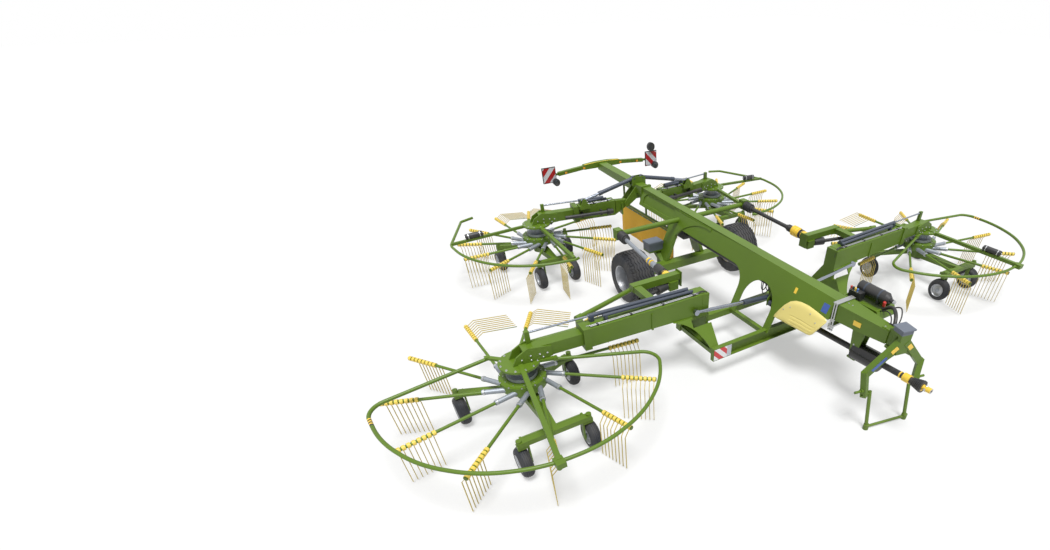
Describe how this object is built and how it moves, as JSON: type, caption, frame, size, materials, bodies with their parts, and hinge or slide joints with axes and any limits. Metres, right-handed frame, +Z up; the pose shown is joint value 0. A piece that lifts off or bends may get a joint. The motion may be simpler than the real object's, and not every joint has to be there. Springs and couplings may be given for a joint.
{
  "type": "four-rotor rotary rake",
  "caption": "Towed rotary rake in working position: long beam on a wheeled axle, folding telescopic booms, tined rotors with guard hoops, headstock and drive shaft.",
  "frame": {"origin": "on the ground below the middle of the whole machine", "axes": "+X forward, towards the tractor; +Y to the left; +Z up"},
  "size_m": [9.1664, 12.076, 1.735],
  "materials": {
    "green_paint": "gloss",
    "cream_paint": "gloss",
    "dark_paint": "satin",
    "cast_grey": "rough",
    "black_plastic": "matte",
    "tyre": "matte",
    "bright_steel": "brushed",
    "board_film": "gloss",
    "curtain_fabric": "woven",
    "grey_box": "satin"
  },
  "bodies": {
    "chassis": {"main_beam": "green_paint", "axle_frame": "green_paint", "rear_spine": "green_paint", "warning_boards": "board_film", "side_covers": "cream_paint", "drawbar": "green_paint", "beam_clamps": "bright_steel", "hose_tray": "green_paint", "accumulator": "black_plastic", "drive_tube": "green_paint", "side_shafts": "cast_grey", "cardan_shaft": "black_plastic", "pto_shaft": "black_plastic", "toolbox": "grey_box", "swath_curtain": "curtain_fabric"},
    "headstock": {"headstock": "green_paint", "control_box": "grey_box"},
    "parking_stand": {"parking_stand": "green_paint"},
    "transport_wheel_right": {"transport_wheel_right": "tyre"},
    "transport_wheel_left": {"transport_wheel_left": "tyre"},
    "boom_front_right": {"boom_front_right": "green_paint", "boom_gear_front_right": "dark_paint"},
    "rotor_frame_front_right": {"rotor_frame_front_right": "green_paint"},
    "rotor_front_right": {"rotor_front_right": "green_paint"},
    "lift_barrel_front_right": {"lift_barrel_front_right": "dark_paint"},
    "lift_rod_front_right": {"lift_rod_front_right": "bright_steel"},
    "wheel_front_right_1": {"wheel_front_right_1": "tyre"},
    "wheel_front_right_2": {"wheel_front_right_2": "tyre"},
    "wheel_front_right_3": {"wheel_front_right_3": "tyre"},
    "wheel_front_right_4": {"wheel_front_right_4": "tyre"},
    "boom_front_left": {"boom_front_left": "green_paint", "boom_gear_front_left": "dark_paint"},
    "rotor_frame_front_left": {"rotor_frame_front_left": "green_paint"},
    "rotor_front_left": {"rotor_front_left": "green_paint"},
    "lift_barrel_front_left": {"lift_barrel_front_left": "dark_paint"},
    "lift_rod_front_left": {"lift_rod_front_left": "bright_steel"},
    "wheel_front_left_1": {"wheel_front_left_1": "tyre"},
    "wheel_front_left_2": {"wheel_front_left_2": "tyre"},
    "wheel_front_left_3": {"wheel_front_left_3": "tyre"},
    "wheel_front_left_4": {"wheel_front_left_4": "tyre"},
    "boom_rear_right": {"boom_rear_right": "green_paint", "boom_gear_rear_right": "dark_paint"},
    "rotor_frame_rear_right": {"rotor_frame_rear_right": "green_paint"},
    "rotor_rear_right": {"rotor_rear_right": "green_paint"},
    "lift_barrel_rear_right": {"lift_barrel_rear_right": "dark_paint"},
    "lift_rod_rear_right": {"lift_rod_rear_right": "bright_steel"},
    "wheel_rear_right_1": {"wheel_rear_right_1": "tyre"},
    "wheel_rear_right_2": {"wheel_rear_right_2": "tyre"},
    "wheel_rear_right_3": {"wheel_rear_right_3": "tyre"},
    "wheel_rear_right_4": {"wheel_rear_right_4": "tyre"},
    "boom_rear_left": {"boom_rear_left": "green_paint", "boom_gear_rear_left": "dark_paint"},
    "rotor_frame_rear_left": {"rotor_frame_rear_left": "green_paint"},
    "rotor_rear_left": {"rotor_rear_left": "green_paint"},
    "lift_barrel_rear_left": {"lift_barrel_rear_left": "dark_paint"},
    "lift_rod_rear_left": {"lift_rod_rear_left": "bright_steel"},
    "wheel_rear_left_1": {"wheel_rear_left_1": "tyre"},
    "wheel_rear_left_2": {"wheel_rear_left_2": "tyre"},
    "wheel_rear_left_3": {"wheel_rear_left_3": "tyre"},
    "wheel_rear_left_4": {"wheel_rear_left_4": "tyre"}
  },
  "joints": [
    {"name": "headstock_steer", "type": "hinge", "parent": "chassis", "child": "headstock", "pos_m": [3.89149, 0, 1.2], "axis": [0, 0, 1], "range_deg": [-17, 43]},
    {"name": "stand_swing", "type": "hinge", "parent": "headstock", "child": "parking_stand", "pos_m": [4.06506, -0.03944, 0.535], "axis": [-0.2215, -0.9751, 0], "range_deg": [0, 60]},
    {"name": "transport_wheel_right_spin", "type": "hinge", "parent": "chassis", "child": "transport_wheel_right", "pos_m": [-0.84851, -1.23, 0.465], "axis": [0, 1, 0], "continuous": true},
    {"name": "transport_wheel_left_spin", "type": "hinge", "parent": "chassis", "child": "transport_wheel_left", "pos_m": [-0.84851, 1.23, 0.465], "axis": [0, 1, 0], "continuous": true},
    {"name": "fold_front_right", "type": "hinge", "parent": "chassis", "child": "boom_front_right", "pos_m": [1.53149, -1.395, 0.43], "axis": [-1, 0, 0], "range_deg": [0, 95]},
    {"name": "reach_front_right", "type": "slide", "parent": "boom_front_right", "child": "rotor_frame_front_right", "axis": [-0.0572, -0.9984, 0], "range_m": [-0.18, 0.35]},
    {"name": "rotor_spin_front_right", "type": "hinge", "parent": "rotor_frame_front_right", "child": "rotor_front_right", "pos_m": [1.35749, -4.181, 0.7], "axis": [0, 0, 1], "continuous": true},
    {"name": "wheel_front_right_1_spin", "type": "hinge", "parent": "rotor_frame_front_right", "child": "wheel_front_right_1", "pos_m": [2.34249, -4.641, 0.205], "axis": [0, 1, 0], "continuous": true},
    {"name": "wheel_front_right_2_spin", "type": "hinge", "parent": "rotor_frame_front_right", "child": "wheel_front_right_2", "pos_m": [2.34249, -3.721, 0.205], "axis": [0, 1, 0], "continuous": true},
    {"name": "wheel_front_right_3_spin", "type": "hinge", "parent": "rotor_frame_front_right", "child": "wheel_front_right_3", "pos_m": [0.94749, -5.001, 0.205], "axis": [0, 1, 0], "continuous": true},
    {"name": "wheel_front_right_4_spin", "type": "hinge", "parent": "rotor_frame_front_right", "child": "wheel_front_right_4", "pos_m": [0.94749, -3.361, 0.205], "axis": [0, 1, 0], "continuous": true},
    {"name": "lift_barrel_swing_front_right", "type": "hinge", "parent": "chassis", "child": "lift_barrel_front_right", "pos_m": [1.68649, 0.22, 0.82], "axis": [-1, 0, 0], "range_deg": [-20.5, 0]},
    {"name": "lift_rod_slide_front_right", "type": "slide", "parent": "lift_barrel_front_right", "child": "lift_rod_front_right", "axis": [0, -0.9936, 0.1132], "range_m": [-0.7996, 0]},
    {"name": "fold_front_left", "type": "hinge", "parent": "chassis", "child": "boom_front_left", "pos_m": [1.53149, 1.395, 0.43], "axis": [1, 0, 0], "range_deg": [0, 95]},
    {"name": "reach_front_left", "type": "slide", "parent": "boom_front_left", "child": "rotor_frame_front_left", "axis": [-0.0572, 0.9984, 0], "range_m": [-0.18, 0.35]},
    {"name": "rotor_spin_front_left", "type": "hinge", "parent": "rotor_frame_front_left", "child": "rotor_front_left", "pos_m": [1.35749, 4.181, 0.7], "axis": [0, 0, 1], "continuous": true},
    {"name": "wheel_front_left_1_spin", "type": "hinge", "parent": "rotor_frame_front_left", "child": "wheel_front_left_1", "pos_m": [2.34249, 4.641, 0.205], "axis": [0, 1, 0], "continuous": true},
    {"name": "wheel_front_left_2_spin", "type": "hinge", "parent": "rotor_frame_front_left", "child": "wheel_front_left_2", "pos_m": [2.34249, 3.721, 0.205], "axis": [0, 1, 0], "continuous": true},
    {"name": "wheel_front_left_3_spin", "type": "hinge", "parent": "rotor_frame_front_left", "child": "wheel_front_left_3", "pos_m": [0.94749, 5.001, 0.205], "axis": [0, 1, 0], "continuous": true},
    {"name": "wheel_front_left_4_spin", "type": "hinge", "parent": "rotor_frame_front_left", "child": "wheel_front_left_4", "pos_m": [0.94749, 3.361, 0.205], "axis": [0, 1, 0], "continuous": true},
    {"name": "lift_barrel_swing_front_left", "type": "hinge", "parent": "chassis", "child": "lift_barrel_front_left", "pos_m": [1.80649, -0.22, 0.82], "axis": [1, 0, 0], "range_deg": [-20.5, 0]},
    {"name": "lift_rod_slide_front_left", "type": "slide", "parent": "lift_barrel_front_left", "child": "lift_rod_front_left", "axis": [0, 0.9936, 0.1132], "range_m": [-0.7996, 0]},
    {"name": "fold_rear_right", "type": "hinge", "parent": "chassis", "child": "boom_rear_right", "pos_m": [-2.69851, -0.33, 1.12], "axis": [-1, 0, 0], "range_deg": [0, 20]},
    {"name": "reach_rear_right", "type": "slide", "parent": "boom_rear_right", "child": "rotor_frame_rear_right", "axis": [-0.1564, -0.9877, 0], "range_m": [-0.1, 0.35]},
    {"name": "rotor_spin_rear_right", "type": "hinge", "parent": "rotor_frame_rear_right", "child": "rotor_rear_right", "pos_m": [-2.99851, -2.19, 0.7], "axis": [0, 0, 1], "continuous": true},
    {"name": "wheel_rear_right_1_spin", "type": "hinge", "parent": "rotor_frame_rear_right", "child": "wheel_rear_right_1", "pos_m": [-2.20851, -2.54, 0.205], "axis": [0, 1, 0], "continuous": true},
    {"name": "wheel_rear_right_2_spin", "type": "hinge", "parent": "rotor_frame_rear_right", "child": "wheel_rear_right_2", "pos_m": [-2.20851, -1.84, 0.205], "axis": [0, 1, 0], "continuous": true},
    {"name": "wheel_rear_right_3_spin", "type": "hinge", "parent": "rotor_frame_rear_right", "child": "wheel_rear_right_3", "pos_m": [-3.41851, -2.93, 0.205], "axis": [0, 1, 0], "continuous": true},
    {"name": "wheel_rear_right_4_spin", "type": "hinge", "parent": "rotor_frame_rear_right", "child": "wheel_rear_right_4", "pos_m": [-3.41851, -1.45, 0.205], "axis": [0, 1, 0], "continuous": true},
    {"name": "lift_barrel_swing_rear_right", "type": "hinge", "parent": "chassis", "child": "lift_barrel_rear_right", "pos_m": [-2.69851, -0.1, 1.545], "axis": [-1, 0, 0], "range_deg": [0, 15.84]},
    {"name": "lift_rod_slide_rear_right", "type": "slide", "parent": "lift_barrel_rear_right", "child": "lift_rod_rear_right", "axis": [0, -0.9798, -0.2002], "range_m": [-0.144, 0]},
    {"name": "fold_rear_left", "type": "hinge", "parent": "chassis", "child": "boom_rear_left", "pos_m": [-2.69851, 0.33, 1.12], "axis": [1, 0, 0], "range_deg": [0, 20]},
    {"name": "reach_rear_left", "type": "slide", "parent": "boom_rear_left", "child": "rotor_frame_rear_left", "axis": [-0.1564, 0.9877, 0], "range_m": [-0.1, 0.35]},
    {"name": "rotor_spin_rear_left", "type": "hinge", "parent": "rotor_frame_rear_left", "child": "rotor_rear_left", "pos_m": [-2.99851, 2.19, 0.7], "axis": [0, 0, 1], "continuous": true},
    {"name": "wheel_rear_left_1_spin", "type": "hinge", "parent": "rotor_frame_rear_left", "child": "wheel_rear_left_1", "pos_m": [-2.20851, 2.54, 0.205], "axis": [0, 1, 0], "continuous": true},
    {"name": "wheel_rear_left_2_spin", "type": "hinge", "parent": "rotor_frame_rear_left", "child": "wheel_rear_left_2", "pos_m": [-2.20851, 1.84, 0.205], "axis": [0, 1, 0], "continuous": true},
    {"name": "wheel_rear_left_3_spin", "type": "hinge", "parent": "rotor_frame_rear_left", "child": "wheel_rear_left_3", "pos_m": [-3.41851, 2.93, 0.205], "axis": [0, 1, 0], "continuous": true},
    {"name": "wheel_rear_left_4_spin", "type": "hinge", "parent": "rotor_frame_rear_left", "child": "wheel_rear_left_4", "pos_m": [-3.41851, 1.45, 0.205], "axis": [0, 1, 0], "continuous": true},
    {"name": "lift_barrel_swing_rear_left", "type": "hinge", "parent": "chassis", "child": "lift_barrel_rear_left", "pos_m": [-2.69851, 0.1, 1.545], "axis": [1, 0, 0], "range_deg": [0, 15.84]},
    {"name": "lift_rod_slide_rear_left", "type": "slide", "parent": "lift_barrel_rear_left", "child": "lift_rod_rear_left", "axis": [0, 0.9798, -0.2002], "range_m": [-0.144, 0]}
  ],
  "couplings": [
    {"joint": "lift_barrel_swing_front_right", "follows": "fold_front_right", "ratio": -0.21057},
    {"joint": "lift_rod_slide_front_right", "follows": "fold_front_right", "m_per_rad": -0.48103},
    {"joint": "lift_barrel_swing_front_left", "follows": "fold_front_left", "ratio": -0.21057},
    {"joint": "lift_rod_slide_front_left", "follows": "fold_front_left", "m_per_rad": -0.48103},
    {"joint": "lift_barrel_swing_rear_right", "follows": "fold_rear_right", "ratio": 0.76696},
    {"joint": "lift_rod_slide_rear_right", "follows": "fold_rear_right", "m_per_rad": -0.40673},
    {"joint": "lift_barrel_swing_rear_left", "follows": "fold_rear_left", "ratio": 0.76696},
    {"joint": "lift_rod_slide_rear_left", "follows": "fold_rear_left", "m_per_rad": -0.40673}
  ]
}
